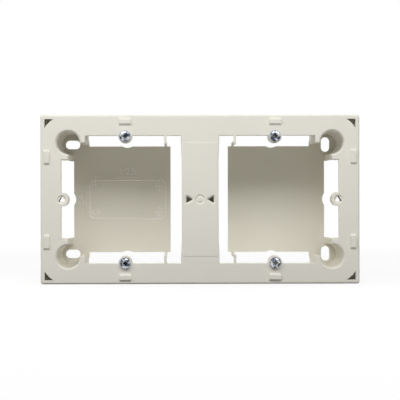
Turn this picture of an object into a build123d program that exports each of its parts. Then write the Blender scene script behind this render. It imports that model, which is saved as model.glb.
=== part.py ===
from build123d import *
import os
from math import atan, degrees, sqrt

# Double surface mount box: one moulded housing for two device inserts, with its four device screws.
# Millimetres. X runs across the front, Y from the front towards the wall, Z up.
# The origin lies under the middle of the box, on the surface that it stands on.

# Housing
width = 151.0
height = 80.0
depth = 42.0  # from the wall to the front face
wall = 1.9
flange = 2.5
plate = 2.0  # back plates and well floors
corner_radius = 1.2
face_edge_radius = 0.9
window_edge_radius = 0.4

# Device openings, one gang each side of the web
gang_pitch = 71.0
window = 53.8
band_reach = 30.15  # from the gang's centre to the far edge of each cable band
band_half_length = 18.9
web_half_width = 8.7
web_end_half_width = 9.1
web_taper_start = 19.0
web_land_height = 0.15
web_rib_thickness = 1.4
web_rib_depth = 7.0

# Screw bosses, four round each gang
screw_pitch = 60.0
boss_radius = 3.25
web_boss_radius = 3.0
boss_length = 10.0
boss_rib = 1.2
lead_in_radius = 2.15
lead_in_depth = 0.5
bevel_angle = 45  # slope of the bevels at the mouths of holes and wells, in degrees
triangle_side = 3.4
triangle_corner_radius = 0.3
triangle_mouth = 0.7  # width of the bevel round a web hole
web_hole_depth = 5.0

# Gate mark in the middle of the web: a shallow dish with a pip in it
gate_radius = 2.4
gate_depth = 0.5
gate_pip_radius = 1.5
gate_pip_height = 0.4

# Back plates
plate_reach_in = 21.3  # from the gang's centre towards the web
plate_reach_out = 26.5
plate_half_height = 26.2
notch_radius = 4.5
post_thickness = 1.2
post_offset = 19.0  # from the gang's centre towards the web
post_inner_edge = 26.5

# Wall-screw wells
well_inset = 13.0  # from the outer faces to a well's axis, which gives a wall spacing of 125 by 54
well_radius = 5.55
well_floor_radius = 5.1
well_tube_radius = 7.5
well_base_radius = 8.1  # disc behind the tube, level with the back plate
well_rim = 0.65  # width of the bevel round the mouth
slot_length = 7.2
slot_width = 4.2
partition = 1.6
partition_draft = 0.6  # in degrees

# Corner cups in the flange
cup_arc_radius = 13.05  # about the well's axis
cup_depth = 4.5
cup_wall = 1.8

# Catch pads on the flange
pad_height = 1.0
pad_angle = 45  # slope of the pad ends, in degrees
end_pad_width = 5.4
end_pad_length = 3.8
end_pad_inset = 3.1  # from the outer face to the pad's middle
side_pad_width = 2.5
side_pad_length = 7.3
side_pad_inset = 2.9
side_pad_z = 20.1

# Scored cable knock-outs in the outer walls
knockout_width = 20.0
side_knockout_width = 16.0
knockout_depth = 12.0
knockout_skin = 0.8
score_width = 0.5
score_depth = 0.3

# Device screws
screw_radius = 1.75
screw_clearance = 0.05
screw_length = 16.0
head_radius = 2.7
head_height = 2.2
head_side = 1.0  # height of the head's straight side
recess_width = 0.8
recess_reach = 1.4
recess_depth = 1.3

# Places worked out from the sizes
overall_depth = depth + head_height
wall_y = overall_depth / 2
face_y = wall_y - depth
mid_z = height / 2
gang_x = gang_pitch / 2
screw_reach = screw_pitch / 2
well_x = width / 2 - well_inset
well_z = height / 2 - well_inset
well_taper = degrees(atan((well_radius - well_floor_radius) / (depth - plate)))
window_half = window / 2
window_outer_x = gang_x + window_half
band_outer_x = gang_x + band_half_length
side_inner_x = width / 2 - wall
end_inner_z = height / 2 - wall
ends = (-1, 1)


def face_plane(inwards=0.0):
    """Plane parallel to the front face: local x is X, local y is Z above the middle of the box."""
    return Plane(origin=(0, face_y + inwards, mid_z), x_dir=(1, 0, 0), z_dir=(0, -1, 0))


def side_plane(x):
    """Plane across the width: local x is Y behind the front face, local y is Z above the middle."""
    return Plane(origin=(x, face_y, mid_z), x_dir=(0, 1, 0), z_dir=(1, 0, 0))


gang_spots = [(side * gang_x, 0) for side in ends]
well_spots = [(side * well_x, end * well_z) for side in ends for end in ends]
screw_spots = [(side * gang_x, end * screw_reach) for side in ends for end in ends]
side_hole_spots = [(side * (gang_x + screw_reach), 0) for side in ends]
web_hole_spots = [(side * (gang_x - screw_reach), 0) for side in ends]

with BuildPart() as housing:
    # Outer walls and front flange, open at the back
    with BuildSketch(face_plane()):
        RectangleRounded(width, height, corner_radius)
    extrude(amount=-depth)
    fillet(housing.faces().sort_by(Axis.Y)[0].edges(), radius=face_edge_radius)
    with BuildSketch(face_plane(flange)):
        Rectangle(2 * side_inner_x, 2 * end_inner_z)
    extrude(amount=-depth, mode=Mode.SUBTRACT)

    # Device windows with their cable bands, and the web that widens towards both ends
    with BuildSketch(face_plane()):
        for side in ends:
            with Locations((side * (web_end_half_width + window_outer_x) / 2, 0)):
                Rectangle(window_outer_x - web_end_half_width, window)
            with Locations((side * (web_end_half_width + band_outer_x) / 2, 0)):
                Rectangle(band_outer_x - web_end_half_width, 2 * band_reach)
            with Locations((side * (gang_x + band_reach / 2), 0)):
                Rectangle(band_reach, 2 * band_half_length)
            Polygon(
                (side * web_end_half_width, window_half),
                (side * web_half_width, web_taper_start),
                (side * web_half_width, -web_taper_start),
                (side * web_end_half_width, -window_half),
                align=None,
            )
    extrude(amount=-flange, mode=Mode.SUBTRACT)
    window_edges = housing.faces().sort_by(Axis.Y)[0].inner_wires().edges()
    fillet(window_edges, radius=window_edge_radius)

    # Stiffening rib behind the web, and the thin land moulded on its front
    with BuildSketch(face_plane(flange)):
        Rectangle(web_rib_thickness, height - wall)
    extrude(amount=-web_rib_depth)
    with BuildSketch(face_plane()):
        Rectangle(2 * (web_half_width - window_edge_radius), window)
    extrude(amount=web_land_height)

    # Back plates, notched round the bosses, with a tab for each post
    with BuildSketch(face_plane(depth)):
        plate_width = plate_reach_in + plate_reach_out
        for side in ends:
            with Locations((side * (gang_x + (plate_reach_out - plate_reach_in) / 2), 0)):
                Rectangle(plate_width, 2 * plate_half_height)
        with Locations(*screw_spots, *side_hole_spots):
            Circle(notch_radius, mode=Mode.SUBTRACT)
        for side in ends:
            with Locations((side * (gang_x - post_offset), 0)):
                Rectangle(post_thickness, 2 * (post_inner_edge + post_thickness))
        with Locations(*well_spots):
            Circle(well_base_radius)
    extrude(amount=plate)

    # Posts that tie the plates' inner corners to the flange, each with its bar across the cable band
    post_outer_edge = post_inner_edge + post_thickness
    bar_outer_edge = band_reach + window_edge_radius
    for side in ends:
        with BuildSketch(side_plane(side * (gang_x - post_offset))):
            for end in ends:
                with Locations((depth / 2, end * (post_inner_edge + post_outer_edge) / 2)):
                    Rectangle(depth, post_thickness)
                with Locations((flange / 2, end * (post_inner_edge + bar_outer_edge) / 2)):
                    Rectangle(flange, bar_outer_edge - post_inner_edge)
    extrude(amount=post_thickness / 2, both=True)

    # Well tubes, open to the window where they would stand in it
    with BuildSketch(face_plane(flange)):
        with Locations(*well_spots):
            Circle(well_tube_radius)
        with Locations(*gang_spots):
            Rectangle(window, window, mode=Mode.SUBTRACT)
    extrude(amount=flange - depth)

    # Partitions at the ends of the cable bands, which shut the wells off
    with BuildSketch(face_plane(flange)):
        with Locations((-band_outer_x - partition / 2, 0), (band_outer_x + partition / 2, 0)):
            Rectangle(partition, height - wall)
        Rectangle(width, window, mode=Mode.SUBTRACT)
    with BuildSketch(face_plane(flange)):
        with Locations((0, -band_half_length - partition / 2), (0, band_half_length + partition / 2)):
            Rectangle(width - wall, partition)
        Rectangle(2 * window_outer_x, height, mode=Mode.SUBTRACT)
    extrude(amount=flange - depth, taper=partition_draft)

    # Corner cups behind the flange
    with BuildSketch(face_plane(flange)):
        Rectangle(width - wall, height - wall)
        with Locations(*well_spots):
            Circle(cup_arc_radius - cup_wall, mode=Mode.SUBTRACT)
        Rectangle(width, 2 * well_z, mode=Mode.SUBTRACT)
        Rectangle(2 * well_x, height, mode=Mode.SUBTRACT)
    extrude(amount=flange - cup_depth - cup_wall)

    # Bosses, each ribbed to the nearest wall; the web's two stand behind the flange
    with BuildSketch(face_plane()):
        with Locations(*screw_spots, *side_hole_spots):
            Circle(boss_radius)
    extrude(amount=-boss_length)
    with BuildSketch(face_plane(flange)):
        with Locations(*web_hole_spots):
            Circle(web_boss_radius)
        for x, z in screw_spots:
            rib_end_z = height / 2 - wall / 2
            with Locations((x, (z + rib_end_z * z / screw_reach) / 2)):
                Rectangle(boss_rib, rib_end_z - screw_reach)
        for side in ends:
            rib_start_x = gang_x + screw_reach
            rib_end_x = width / 2 - wall / 2
            with Locations((side * (rib_start_x + rib_end_x) / 2, 0)):
                Rectangle(rib_end_x - rib_start_x, boss_rib)
    extrude(amount=flange - boss_length)

    # Wells with draft and a bevelled rim, and the slots in their floors: level left, upright right
    with BuildSketch(face_plane()):
        with Locations(*well_spots):
            Circle(well_radius)
    extrude(amount=plate - depth, taper=well_taper, mode=Mode.SUBTRACT)
    with BuildSketch(face_plane()):
        with Locations(*well_spots):
            Circle(well_radius + well_rim)
    extrude(amount=-well_rim, taper=bevel_angle, mode=Mode.SUBTRACT)
    with BuildSketch(face_plane(depth)):
        for side in ends:
            with Locations((side * well_x, -well_z), (side * well_x, well_z)):
                SlotOverall(slot_length, slot_width, rotation=0 if side < 0 else 90)
    extrude(amount=2 * plate, both=True, mode=Mode.SUBTRACT)

    # Corner pockets, bounded by the box's walls and an arc about the well
    with BuildSketch(face_plane()):
        Rectangle(2 * side_inner_x, 2 * end_inner_z)
        with Locations(*well_spots):
            Circle(cup_arc_radius, mode=Mode.SUBTRACT)
        Rectangle(width, 2 * well_z, mode=Mode.SUBTRACT)
        Rectangle(2 * well_x, height, mode=Mode.SUBTRACT)
    extrude(amount=-cup_depth, mode=Mode.SUBTRACT)

    # Bores that the four device screws have cut, and the lead-ins of the side holes
    with BuildSketch(face_plane()):
        with Locations(*screw_spots):
            Circle(screw_radius + screw_clearance)
    extrude(amount=-boss_length, mode=Mode.SUBTRACT)
    with BuildSketch(face_plane()):
        with Locations(*side_hole_spots):
            Circle(lead_in_radius)
    extrude(amount=-lead_in_depth, taper=bevel_angle, mode=Mode.SUBTRACT)

    # Three-lobed holes for self-tapping screws: through at the sides, blind in the web
    with BuildSketch(face_plane()) as side_holes:
        with Locations(*side_hole_spots):
            RegularPolygon(triangle_side / sqrt(3), 3, rotation=90)
        fillet(side_holes.vertices(), radius=triangle_corner_radius)
    extrude(amount=-boss_length, mode=Mode.SUBTRACT)
    with BuildSketch(face_plane(-web_land_height)) as web_holes:
        for side in ends:
            with Locations((side * (gang_x - screw_reach), 0)):
                RegularPolygon(triangle_side / sqrt(3), 3, rotation=0 if side < 0 else 180)
        fillet(web_holes.vertices(), radius=triangle_corner_radius)
    extrude(amount=-web_hole_depth, mode=Mode.SUBTRACT)
    with BuildSketch(face_plane(-web_land_height)) as web_mouths:
        for side in ends:
            with Locations((side * (gang_x - screw_reach), 0)):
                RegularPolygon(triangle_side / sqrt(3), 3, rotation=0 if side < 0 else 180)
        fillet(web_mouths.vertices(), radius=triangle_corner_radius)
        offset(amount=triangle_mouth)
    extrude(amount=-triangle_mouth, taper=bevel_angle, mode=Mode.SUBTRACT)

    # Gate mark
    with BuildSketch(face_plane(-web_land_height)):
        Circle(gate_radius)
    extrude(amount=-gate_depth, taper=bevel_angle, mode=Mode.SUBTRACT)
    with BuildSketch(face_plane(gate_depth - web_land_height)):
        Circle(gate_pip_radius)
    extrude(amount=gate_pip_height, taper=bevel_angle)

    # Catch pads with sloped ends, above and below each window and at both sides
    end_pad_z = height / 2 - end_pad_inset
    for x in (-gang_x, gang_x):
        with BuildSketch(side_plane(x)):
            with Locations((0, -end_pad_z), (0, end_pad_z)):
                Trapezoid(end_pad_length, pad_height, pad_angle, rotation=90, align=(Align.CENTER, Align.MIN))
    extrude(amount=end_pad_width / 2, both=True)
    side_pad_x = width / 2 - side_pad_inset
    for x in (-side_pad_x, side_pad_x):
        with BuildSketch(side_plane(x)):
            with Locations((0, -side_pad_z), (0, side_pad_z)):
                Trapezoid(side_pad_length, pad_height, pad_angle, rotation=90, align=(Align.CENTER, Align.MIN))
    extrude(amount=side_pad_width / 2, both=True)

    # Knock-outs at the wall end of the walls: thinned from the inside, scored round on the outside
    with BuildSketch(face_plane(depth)):
        with Locations(*gang_spots):
            Rectangle(knockout_width, height - 2 * knockout_skin)
        Rectangle(width - 2 * knockout_skin, side_knockout_width)
        Rectangle(2 * side_inner_x, 2 * end_inner_z, mode=Mode.SUBTRACT)
    extrude(amount=knockout_depth, mode=Mode.SUBTRACT)
    with BuildSketch(face_plane(depth)):
        with Locations(*gang_spots):
            Rectangle(knockout_width, height)
            Rectangle(knockout_width - 2 * score_width, height, mode=Mode.SUBTRACT)
        Rectangle(width, side_knockout_width)
        Rectangle(width, side_knockout_width - 2 * score_width, mode=Mode.SUBTRACT)
        Rectangle(width - 2 * score_depth, height - 2 * score_depth, mode=Mode.SUBTRACT)
    extrude(amount=knockout_depth, mode=Mode.SUBTRACT)
    with BuildSketch(face_plane(depth - knockout_depth)):
        with Locations(*gang_spots):
            Rectangle(knockout_width, height)
        Rectangle(width, side_knockout_width)
        Rectangle(width - 2 * score_depth, height - 2 * score_depth, mode=Mode.SUBTRACT)
    extrude(amount=-score_width, mode=Mode.SUBTRACT)

housing.part.label = "housing"

with BuildPart() as device_screws:
    # Pan heads with a bevelled top, which rest on the boss faces
    with BuildSketch(face_plane()):
        with Locations(*screw_spots):
            Circle(head_radius)
    extrude(amount=head_height)
    head_tops = device_screws.faces().group_by(Axis.Y)[0]
    chamfer(head_tops.edges(), length=head_height - head_side)

    # Shanks, as thick as their thread
    with BuildSketch(face_plane()):
        with Locations(*screw_spots):
            Circle(screw_radius)
    extrude(amount=-screw_length)

    # Cross recesses
    with BuildSketch(face_plane(-head_height)):
        with Locations(*screw_spots):
            Rectangle(2 * recess_reach, recess_width)
            Rectangle(recess_width, 2 * recess_reach)
    extrude(amount=-recess_depth, mode=Mode.SUBTRACT)

device_screws.part.label = "device_screws"

os.makedirs("parts", exist_ok=True)
export_step(housing.part, "parts/housing.step")
export_step(device_screws.part, "parts/device_screws.step")
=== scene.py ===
import math

import bmesh
import bpy
from mathutils import Matrix, Vector


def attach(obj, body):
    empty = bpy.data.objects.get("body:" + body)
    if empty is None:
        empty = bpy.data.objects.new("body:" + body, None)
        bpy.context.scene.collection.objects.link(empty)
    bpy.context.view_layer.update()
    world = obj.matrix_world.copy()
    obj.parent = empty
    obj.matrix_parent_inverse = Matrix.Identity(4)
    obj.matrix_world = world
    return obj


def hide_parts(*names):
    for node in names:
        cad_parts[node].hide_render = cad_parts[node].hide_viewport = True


# Looks of the double surface mount box: one off-white moulding and its four device screws.
# Metres. X runs across the front, Y from the front towards the wall, Z up, as in the CAD part.

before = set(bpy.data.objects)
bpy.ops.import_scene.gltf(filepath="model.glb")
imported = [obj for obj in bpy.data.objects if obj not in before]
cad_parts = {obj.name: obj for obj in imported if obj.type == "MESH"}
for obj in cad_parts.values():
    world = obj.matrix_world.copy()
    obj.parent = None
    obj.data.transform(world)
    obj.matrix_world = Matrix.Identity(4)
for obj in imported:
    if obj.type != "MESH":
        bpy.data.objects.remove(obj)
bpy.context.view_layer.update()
scene = bpy.context.scene
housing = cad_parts["housing"]

# Places of the CAD part that the pieces sit on, in millimetres
FACE_Y = -19.9
PLATE_Y = 20.1
MIDDLE_Z = 40.0
GANG_X = 35.5
SCREW_REACH = 30.0


def mm(*values):
    """Millimetres to metres, as one number or as a vector."""
    scaled = [value / 1000.0 for value in values]
    return scaled[0] if len(scaled) == 1 else Vector(scaled)


def colour(red, green, blue):
    """sRGB 0-255 to the linear colour that nodes use."""
    def linear(value):
        value /= 255.0
        return value / 12.92 if value <= 0.04045 else ((value + 0.055) / 1.055) ** 2.4
    return (linear(red), linear(green), linear(blue), 1.0)


class Nodes:
    """Short way to build a node tree, for a new material or for the world."""

    def __init__(self, owner):
        self.owner = owner
        owner.use_nodes = True
        self.tree = owner.node_tree
        self.tree.nodes.clear()

    def add(self, kind, inputs=None, **settings):
        node = self.tree.nodes.new(kind)
        for key, value in settings.items():
            setattr(node, key, value)
        for key, value in (inputs or {}).items():
            if isinstance(value, bpy.types.NodeSocket):
                self.tree.links.new(value, node.inputs[key])
            else:
                node.inputs[key].default_value = value
        return node


def new_material(name):
    return Nodes(bpy.data.materials.new(name))


def set_material(obj, material):
    obj.data.materials.clear()
    obj.data.materials.append(material)


# Materials

def moulded_plastic(name, light, dark, painted_shade, gloss):
    """Off-white moulding with a fine grain, faint clouding, a few dark specks and painted shade in its nooks.
    """
    n = new_material(name)
    place = n.add("ShaderNodeTexCoord")
    cloud = n.add("ShaderNodeTexNoise", {"Vector": place.outputs["Object"], "Scale": 22.0, "Detail": 3.0})
    tint = n.add("ShaderNodeMix", {"Factor": cloud.outputs["Fac"], "A": light, "B": dark}, data_type="RGBA")
    cells = n.add("ShaderNodeTexVoronoi", {"Vector": place.outputs["Object"], "Scale": 160.0})
    speck = n.add("ShaderNodeMapRange", {"Value": cells.outputs["Distance"], "From Min": 0.018,
                                         "From Max": 0.030, "To Min": 0.55, "To Max": 0.0})
    specked = n.add("ShaderNodeMix", {"Factor": speck.outputs["Result"], "A": tint.outputs["Result"],
                                      "B": colour(120, 114, 98)}, data_type="RGBA")
    # Painted shade: the colour darkens towards grey-brown where ambient occlusion finds surfaces near by, in
    # nooks, pockets and under the pads.
    nook = n.add("ShaderNodeAmbientOcclusion", {"Distance": 0.0035}, samples=8)
    shade = n.add("ShaderNodeMapRange", {"Value": nook.outputs["AO"], "From Min": 0.10, "From Max": 0.55,
                                         "To Min": painted_shade, "To Max": 0.0})
    shaded = n.add("ShaderNodeMix", {"Factor": shade.outputs["Result"], "A": specked.outputs["Result"],
                                     "B": colour(150, 144, 126)}, data_type="RGBA")
    grain = n.add("ShaderNodeTexNoise", {"Vector": place.outputs["Object"], "Scale": 3200.0, "Detail": 2.0})
    sink = n.add("ShaderNodeTexNoise", {"Vector": place.outputs["Object"], "Scale": 70.0, "Detail": 1.0})
    rough = n.add("ShaderNodeMapRange", {"Value": grain.outputs["Fac"], "To Min": 0.52, "To Max": 0.68})
    wave = n.add("ShaderNodeBump", {"Height": sink.outputs["Fac"], "Strength": 0.05, "Distance": 0.002})
    bump = n.add("ShaderNodeBump", {"Height": grain.outputs["Fac"], "Strength": 0.06, "Distance": 0.0001,
                                    "Normal": wave.outputs["Normal"]})
    shader = n.add("ShaderNodeBsdfPrincipled", {"Base Color": shaded.outputs["Result"],
                                                "Roughness": rough.outputs["Result"],
                                                "Normal": bump.outputs["Normal"],
                                                "Specular IOR Level": gloss})
    n.add("ShaderNodeOutputMaterial", {"Surface": shader.outputs["BSDF"]})
    return n.owner


def zinc_plate(name, light, dark, polished, dull):
    """Zinc plate with fine marks and with patches that differ in tint and polish."""
    n = new_material(name)
    place = n.add("ShaderNodeTexCoord")
    marks = n.add("ShaderNodeTexNoise", {"Vector": place.outputs["Object"], "Scale": 1400.0, "Detail": 4.0})
    patch = n.add("ShaderNodeTexNoise", {"Vector": place.outputs["Object"], "Scale": 560.0, "Detail": 2.0})
    rough = n.add("ShaderNodeMapRange", {"Value": patch.outputs["Fac"], "From Min": 0.35, "From Max": 0.65,
                                         "To Min": polished, "To Max": dull})
    # The patches' dark tint is painted: for the screws' zinc it is partly a stain and partly a painted
    # reflection of a dark room, and for the recess it is painted shade.
    stain_and_painted_dark = n.add("ShaderNodeMapRange", {"Value": patch.outputs["Fac"], "From Min": 0.42, "From Max": 0.58})
    tint = n.add("ShaderNodeMix", {"Factor": stain_and_painted_dark.outputs["Result"], "A": light, "B": dark},
                 data_type="RGBA")
    bump = n.add("ShaderNodeBump", {"Height": marks.outputs["Fac"], "Strength": 0.12, "Distance": 0.00005})
    shader = n.add("ShaderNodeBsdfPrincipled", {"Base Color": tint.outputs["Result"],
                                                "Metallic": 1.0,
                                                "Roughness": rough.outputs["Result"],
                                                "Normal": bump.outputs["Normal"]})
    n.add("ShaderNodeOutputMaterial", {"Surface": shader.outputs["BSDF"]})
    return n.owner


# The housing's plastic darkens its nooks with painted shade; the drawing's plastic takes none.
plastic = moulded_plastic("moulded_plastic", light=colour(243, 240, 229), dark=colour(238, 235, 223),
                          painted_shade=0.40, gloss=0.30)
# Plastic of the raised drawing: its lighter tint is a painted highlight on the line tops, and it is glossier
# than the housing.
painted_highlight_plastic = moulded_plastic("painted_highlight_plastic", light=colour(252, 249, 243), dark=colour(249, 246, 239),
                                 painted_shade=0.0, gloss=0.95)
# Zinc of the screws: its dark blue patches are partly a stain and partly a painted reflection of a dark room.
zinc = zinc_plate("zinc_plate", light=colour(206, 211, 217), dark=colour(66, 73, 92),
                  polished=0.07, dull=0.16)
# Dark zinc for the faces in the heads' recesses: painted shade of the recess.
painted_shade_zinc = zinc_plate("painted_shade_zinc", light=colour(104, 99, 88), dark=colour(28, 27, 24),
                         polished=0.30, dull=0.50)
set_material(housing, plastic)


# Meshes

def new_object(name, mesh, slot, *materials):
    """Piece that rides on the box, with the materials given; its slot is not used."""
    for material in materials:
        mesh.materials.append(material)
    obj = bpy.data.objects.new(name, mesh)
    scene.collection.objects.link(obj)
    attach(obj, "root")
    return obj


def applied(obj):
    """Mesh of an object with its modifiers applied; the object itself goes."""
    scene.collection.objects.link(obj)
    bpy.context.view_layer.update()
    mesh = bpy.data.meshes.new_from_object(obj.evaluated_get(bpy.context.evaluated_depsgraph_get()))
    bpy.data.objects.remove(obj)
    return mesh


def smooth(mesh, angle):
    """Smooth shading, with sharp edges above an angle in degrees."""
    for face in mesh.polygons:
        face.use_smooth = True
    mesh.set_sharp_from_angle(angle=math.radians(angle))


def joined(name, parts):
    """One mesh from several (mesh, matrix) pairs."""
    edit = bmesh.new()
    for mesh, matrix in parts:
        copy = mesh.copy()
        copy.transform(matrix)
        edit.from_mesh(copy)
        bpy.data.meshes.remove(copy)
    mesh = bpy.data.meshes.new(name)
    edit.to_mesh(mesh)
    edit.free()
    return mesh


# Moulded drawing on the left back plate: the wall holes, 125 by 54 apart

DRAWING_SINK = 0.02  # how far the lines' middles lie behind the plate's face
HOLE_X, HOLE_Z = 15.75, 6.45
LEVEL_Z, LEVEL_GAP = 11.25, 2.5
UPRIGHT_X, UPRIGHT_GAP = -20.5, 2.6
BOX_X, BOX_TOP, BOX_BOTTOM, BOX_CORNER = 18.85, 9.65, -9.85, 2.5


def corner(x, z, radius, start):
    """Points on a quarter circle about a point, from its start angle in degrees."""
    steps = 8
    angles = [math.radians(start + 90.0 * step / steps) for step in range(steps + 1)]
    return [(x + radius * math.cos(a), z + radius * math.sin(a)) for a in angles]


def eye(x, z, half_length, half_width, upright):
    """Closed outline of a slot mark: two shallow arcs that meet in a point at both ends."""
    sweep = [step / 10.0 - 1.0 for step in range(21)]
    rim = [(half_length * s, half_width * (1.0 - abs(s) ** 2.6)) for s in sweep]
    rim += [(-a, -b) for a, b in rim[1:-1]]
    return [(x + b, z + a) if upright else (x + a, z + b) for a, b in rim]


def raised_lines(name, lines, radius):
    """Round-backed raised lines on the plate, each with its points about the gang's centre, closed or not."""
    curve = bpy.data.curves.new(name, "CURVE")
    curve.dimensions = "3D"
    curve.bevel_depth = mm(radius)
    curve.bevel_resolution = 3
    curve.use_fill_caps = True
    for points, closed in lines:
        spline = curve.splines.new("POLY")
        spline.points.add(len(points) - 1)
        for point, (x, z) in zip(spline.points, points):
            point.co = (*mm(x - GANG_X, PLATE_Y + DRAWING_SINK, MIDDLE_Z + z), 1.0)
        spline.use_cyclic_u = closed
    mesh = applied(bpy.data.objects.new(name, curve))
    smooth(mesh, 50)
    return new_object(name, mesh, "housing", painted_highlight_plastic)


def raised_number(name, text, x, z, length, height, upright):
    """Number moulded on the plate, fitted to its length and height; an upright one reads upwards."""
    font = bpy.data.curves.new(name, "FONT")
    font.body = text
    font.align_x = "CENTER"
    font.align_y = "CENTER"
    font.space_character = 1.06
    font.extrude = 0.07
    font.bevel_depth = 0.025
    font.bevel_resolution = 2
    mesh = applied(bpy.data.objects.new(name, font))
    xs = [v.co.x for v in mesh.vertices]
    ys = [v.co.y for v in mesh.vertices]
    low_x, wide, low_y, tall = min(xs), max(xs) - min(xs), min(ys), max(ys) - min(ys)
    for v in mesh.vertices:
        along = ((v.co.x - low_x) / wide - 0.5) * length
        across = ((v.co.y - low_y) / tall - 0.5) * height
        raised = v.co.z * height / tall
        if upright:
            along, across = -across, along
        v.co = mm(x - GANG_X + along, PLATE_Y - raised, MIDDLE_Z + z + across)
    edit = bmesh.new()
    edit.from_mesh(mesh)
    bmesh.ops.recalc_face_normals(edit, faces=edit.faces)
    edit.to_mesh(mesh)
    edit.free()
    smooth(mesh, 35)
    return new_object(name, mesh, "housing", painted_highlight_plastic)


box_corners = ((BOX_X - BOX_CORNER, BOX_TOP - BOX_CORNER), (BOX_CORNER - BOX_X, BOX_TOP - BOX_CORNER),
               (BOX_CORNER - BOX_X, BOX_BOTTOM + BOX_CORNER), (BOX_X - BOX_CORNER, BOX_BOTTOM + BOX_CORNER))
box_outline = []
for quarter, (x, z) in enumerate(box_corners):
    box_outline += corner(x, z, BOX_CORNER, 90 * quarter)
dimension_lines = [
    ([(-HOLE_X, HOLE_Z), (-HOLE_X, LEVEL_Z), (HOLE_X, LEVEL_Z), (HOLE_X, HOLE_Z + LEVEL_GAP)], False),
    ([(UPRIGHT_GAP - HOLE_X, HOLE_Z), (UPRIGHT_X, HOLE_Z), (UPRIGHT_X, -HOLE_Z),
      (UPRIGHT_GAP - HOLE_X, -HOLE_Z)], False),
]
hole_marks = []
for z in (-HOLE_Z, HOLE_Z):
    hole_marks.append((eye(-HOLE_X, z, half_length=2.0, half_width=1.3, upright=False), True))
    hole_marks.append((eye(HOLE_X, z, half_length=2.55, half_width=1.35, upright=True), True))
    hole_marks.append(([(HOLE_X - 2.1, z), (HOLE_X + 2.1, z)], False))
    hole_marks.append(([(HOLE_X, z - 2.5), (HOLE_X, z + 2.5)], False))

# The drawing's lines and numbers are made in the lighter plastic with the painted highlight.
raised_lines("drawing_outline", [(box_outline, True)], radius=0.40)
raised_lines("drawing_dimensions", dimension_lines, radius=0.38)
raised_lines("drawing_hole_marks", hole_marks, radius=0.33)
raised_number("drawing_width", "125", x=0.5, z=13.94, length=7.8, height=3.45, upright=False)
raised_number("drawing_height", "54", x=-23.05, z=-0.4, length=5.1, height=3.2, upright=True)


# Slope above the web's raised land, which catches the light from above

LAND_HALF_WIDTH = 8.3
SLOPE_PROFILE = ((0.02, 26.58), (-0.17, 26.58), (-0.16, 26.70), (-0.06, 27.0125), (0.02, 27.15))


def land_slope():
    """Strip with one profile all along it, given as places behind the front face and above the middle."""
    edit = bmesh.new()
    ends = []
    for x in (-LAND_HALF_WIDTH, LAND_HALF_WIDTH):
        ends.append([edit.verts.new(mm(x, FACE_Y + y, MIDDLE_Z + z)) for y, z in SLOPE_PROFILE])
    edit.faces.new(ends[0])
    edit.faces.new(ends[1][::-1])
    for k in range(len(SLOPE_PROFILE)):
        after = (k + 1) % len(SLOPE_PROFILE)
        edit.faces.new((ends[0][k], ends[1][k], ends[1][after], ends[0][after]))
    bmesh.ops.recalc_face_normals(edit, faces=edit.faces)
    mesh = bpy.data.meshes.new("web_land_slope")
    edit.to_mesh(mesh)
    edit.free()
    return mesh


new_object("web_land_slope", land_slope(), "housing", plastic)


# Device screws: pan heads with a combined slot and cross recess, and a coarse thread

# Radius of the head and its depth behind the boss's face, from the top's middle outwards
HEAD = [(0.45, -2.10), (0.9, -2.09), (1.3, -2.07), (1.6, -2.03), (1.85, -1.97), (2.08, -1.87),
        (2.28, -1.72), (2.44, -1.52), (2.54, -1.27), (2.60, -0.98), (2.62, -0.66), (2.62, -0.36),
        (2.59, -0.14), (2.50, -0.02), (2.40, 0.0), (1.40, 0.0)]
# Faces down in the recess take the painted shade.
RECESS_RADIUS, RECESS_SINK, RECESS_FOOT = 1.7, 0.12, -0.1  # where the head's faces are dark
SHANK_START, THREAD_START, THREAD_END, TIP = -0.05, 0.6, 14.4, 15.9
RUN_IN, RUN_OUT = 1.2, 2.2  # lengths over which the thread grows and fades
CORE, CREST, PITCH = 1.32, 1.73, 1.35
RIDGE_SHARE, RIDGE_POWER = 0.30, 0.8  # half the thread's width as a share of the pitch, and its flanks' form
TIP_SHARE = 0.06
ROUND = 48


def thread_radius(depth, turn):
    """Radius of the shank at a depth behind the head, at a share of one turn."""
    ridge = max(0.0, 1.0 - abs((depth / PITCH - turn) % 1.0 - 0.5) / RIDGE_SHARE)
    grown = min(1.0, max(0.0, (depth - THREAD_START) / RUN_IN)) * min(1.0, max(0.0, (TIP - depth) / RUN_OUT))
    core = CORE * min(1.0, max(TIP_SHARE, (TIP - depth) / (TIP - THREAD_END)))
    return core + (CREST - CORE) * grown * ridge ** RIDGE_POWER


def turned(name, depths, radius_at):
    """Closed mesh around the screw's axis, with one ring of points at each depth."""
    edit = bmesh.new()
    rows = []
    for index, depth in enumerate(depths):
        row = []
        for k in range(ROUND):
            radius = radius_at(index, k / ROUND)
            row.append(edit.verts.new(mm(radius * math.cos(math.tau * k / ROUND), depth,
                                         radius * math.sin(math.tau * k / ROUND))))
        rows.append(row)
    for near, far in zip(rows, rows[1:]):
        for k in range(ROUND):
            edit.faces.new((near[k], near[(k + 1) % ROUND], far[(k + 1) % ROUND], far[k]))
    edit.faces.new(rows[0][::-1])
    edit.faces.new(rows[-1])
    bmesh.ops.recalc_face_normals(edit, faces=edit.faces)
    mesh = bpy.data.meshes.new(name)
    edit.to_mesh(mesh)
    edit.free()
    return mesh


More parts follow.
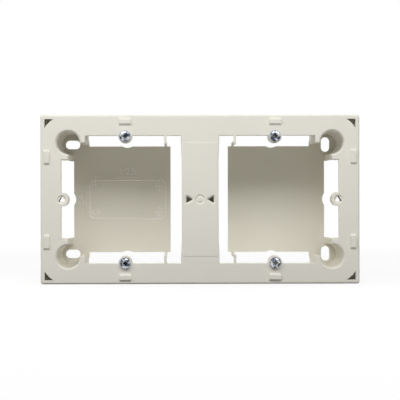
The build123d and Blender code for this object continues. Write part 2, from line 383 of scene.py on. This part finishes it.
def wedge(name, half_length, half_width, foot_length, foot_width, foot, turn):
    """Cutter from above the head down to its foot, narrower there."""
    edit = bmesh.new()
    corners = []
    for length, width, depth in ((half_length, half_width, -3.0), (foot_length, foot_width, foot)):
        for x, z in ((-length, -width), (length, -width), (length, width), (-length, width)):
            corners.append(edit.verts.new(mm(x, depth, z)))
    for face in ((3, 2, 1, 0), (4, 5, 6, 7), (0, 1, 5, 4), (1, 2, 6, 5), (2, 3, 7, 6), (3, 0, 4, 7)):
        edit.faces.new([corners[k] for k in face])
    bmesh.ops.rotate(edit, verts=edit.verts, matrix=Matrix.Rotation(math.radians(turn), 3, "Y"))
    bmesh.ops.recalc_face_normals(edit, faces=edit.faces)
    mesh = bpy.data.meshes.new(name)
    edit.to_mesh(mesh)
    edit.free()
    return bpy.data.objects.new(name, mesh)


def screw_head():
    """Turned head with its recess cut in; the faces in the recess take the second material, a dark zinc that
    is painted shade.
    """
    depths = [depth for _, depth in HEAD]
    head = bpy.data.objects.new("head", turned("head", depths, lambda index, _: HEAD[index][0]))
    cutters = [
        wedge("arm_level", 1.50, 0.42, 0.70, 0.28, -0.55, 0),
        wedge("arm_upright", 1.50, 0.42, 0.70, 0.28, -0.55, 90),
        wedge("core", 0.78, 0.78, 0.50, 0.50, -0.45, 45),
        wedge("slot", 3.0, 0.20, 3.0, 0.14, -1.62, 90),
        wedge("tick_left", 1.75, 0.14, 1.75, 0.08, -1.80, 45),
        wedge("tick_right", 1.75, 0.14, 1.75, 0.08, -1.80, -45),
    ]
    for cutter in cutters:
        scene.collection.objects.link(cutter)
        cut = head.modifiers.new(cutter.name, "BOOLEAN")
        cut.operation = "DIFFERENCE"
        cut.solver = "EXACT"
        cut.object = cutter
    mesh = applied(head)
    for cutter in cutters:
        bpy.data.objects.remove(cutter)
    smooth(mesh, 32)
    for face in mesh.polygons:
        depth = face.center.y * 1000.0
        radius = math.hypot(face.center.x, face.center.z) * 1000.0
        dome = next((near[1] for near, far in zip(HEAD, HEAD[1:]) if radius < far[0]), 0.0)
        in_recess = dome + RECESS_SINK < depth < RECESS_FOOT and radius < RECESS_RADIUS
        face.material_index = int(in_recess)
    return mesh


def screw_shank():
    """Threaded shank with a short point."""
    steps = 120
    depths = [SHANK_START + (TIP - SHANK_START) * k / steps for k in range(steps + 1)]
    mesh = turned("shank", depths, lambda index, turn: thread_radius(depths[index], turn))
    smooth(mesh, 60)
    return mesh


head_mesh, shank_mesh = screw_head(), screw_shank()
screw_parts = []
for side in (-1, 1):
    for end in (-1, 1):
        spot = Matrix.Translation(mm(side * GANG_X, FACE_Y, MIDDLE_Z + end * SCREW_REACH))
        screw_parts += [(head_mesh, spot), (shank_mesh, spot)]
screws = new_object("device_screws_turned", joined("device_screws_turned", screw_parts), "screws",
                    zinc, painted_shade_zinc)
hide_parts("device_screws")


# Camera, as fitted to the photograph; its angles are in degrees

CAMERA_PLACE = mm(-9.6, -839.4, 43.0)
CAMERA_YAW, CAMERA_PITCH, CAMERA_ROLL = -0.665, -0.228, 0.121
CAMERA_LENS = 155.93

camera_data = bpy.data.cameras.new("camera")
camera = bpy.data.objects.new("camera", camera_data)
scene.collection.objects.link(camera)
camera_data.sensor_width = 36.0
camera_data.lens = CAMERA_LENS
camera_data.clip_start = 0.05
camera_data.clip_end = 20.0
yaw, pitch, roll = (math.radians(a) for a in (CAMERA_YAW, CAMERA_PITCH, CAMERA_ROLL))
turn = Matrix.Rotation(yaw, 3, "Z") @ Matrix.Rotation(pitch, 3, "X") @ Matrix.Rotation(roll, 3, "Y")
looking_back = Matrix(((1, 0, 0), (0, 0, -1), (0, 1, 0)))
camera.matrix_world = Matrix.Translation(CAMERA_PLACE) @ (turn @ looking_back).to_4x4()
scene.camera = camera


# Soft studio light, white backdrop and pale floor

def area_light(name, elevation, azimuth, distance, size_x, size_y, power):
    """Soft box that faces the middle of the object; azimuth 0 is in front of it, 90 to its right."""
    data = bpy.data.lights.new(name, "AREA")
    data.shape = "RECTANGLE"
    data.size = size_x
    data.size_y = size_y
    data.energy = power
    light = bpy.data.objects.new(name, data)
    scene.collection.objects.link(light)
    up, around = math.radians(elevation), math.radians(azimuth)
    away = Vector((math.sin(around) * math.cos(up), -math.cos(around) * math.cos(up), math.sin(up)))
    light.location = mm(0, FACE_Y, MIDDLE_Z) + away * distance
    light.rotation_euler = away.to_track_quat("Z", "Y").to_euler()


def direct_rays(n):
    """1 for rays that show the background: from the camera, off metal and gloss, and through glass."""
    path = n.add("ShaderNodeLightPath")
    shown = n.add("ShaderNodeMath", {0: path.outputs["Is Camera Ray"], 1: path.outputs["Is Glossy Ray"]},
                  operation="MAXIMUM")
    return n.add("ShaderNodeMath", {0: shown.outputs["Value"], 1: path.outputs["Is Transmission Ray"]},
                 operation="MAXIMUM")


scene.view_settings.view_transform = "Standard"
area_light("key", elevation=43.5, azimuth=-8.0, distance=0.40, size_x=0.80, size_y=0.16, power=1.85)

# World: white to look at and in reflections; its soft light comes mostly from the backdrop's side
world = bpy.data.worlds.new("world")
scene.world = world
n = Nodes(world)
seen = direct_rays(n)
place = n.add("ShaderNodeTexCoord")
along = n.add("ShaderNodeSeparateXYZ", {"Vector": place.outputs["Generated"]})
behind = n.add("ShaderNodeMapRange", {"Value": along.outputs["Y"], "From Min": 0.0, "From Max": 0.35,
                                      "To Min": 0.12, "To Max": 1.25})
room = n.add("ShaderNodeBackground", {"Color": (1, 1, 1, 1), "Strength": behind.outputs["Result"]})
white = n.add("ShaderNodeBackground", {"Color": (1, 1, 1, 1), "Strength": 1.0})
mix = n.add("ShaderNodeMixShader", {"Fac": seen.outputs["Value"], 1: room.outputs["Background"],
                                    2: white.outputs["Background"]})
n.add("ShaderNodeOutputWorld", {"Surface": mix.outputs["Shader"]})

# Floor: pale with the object's shadow near by, and white farther off
floor_mesh = bpy.data.meshes.new("floor")
edit = bmesh.new()
bmesh.ops.create_circle(edit, cap_ends=True, segments=96, radius=3.0)
edit.to_mesh(floor_mesh)
edit.free()
floor = bpy.data.objects.new("floor", floor_mesh)
scene.collection.objects.link(floor)
n = new_material("floor")
seen = direct_rays(n)
place = n.add("ShaderNodeNewGeometry")
away = n.add("ShaderNodeVectorMath", {0: place.outputs["Position"]}, operation="LENGTH")
far = n.add("ShaderNodeMapRange", {"Value": away.outputs["Value"], "From Min": 0.10, "From Max": 0.60,
                                   "To Min": 0.80, "To Max": 1.0})
pale = n.add("ShaderNodeBsdfDiffuse", {"Color": (1, 1, 1, 1)})
grey = n.add("ShaderNodeBsdfDiffuse", {"Color": (0.3, 0.3, 0.3, 1)})
glow = n.add("ShaderNodeEmission", {"Color": (1, 1, 1, 1), "Strength": 1.0})
bright = n.add("ShaderNodeMixShader", {"Fac": far.outputs["Result"], 1: pale.outputs["BSDF"],
                                       2: glow.outputs["Emission"]})
mix = n.add("ShaderNodeMixShader", {"Fac": seen.outputs["Value"], 1: grey.outputs["BSDF"],
                                    2: bright.outputs["Shader"]})
n.add("ShaderNodeOutputMaterial", {"Surface": mix.outputs["Shader"]})
set_material(floor, n.owner)
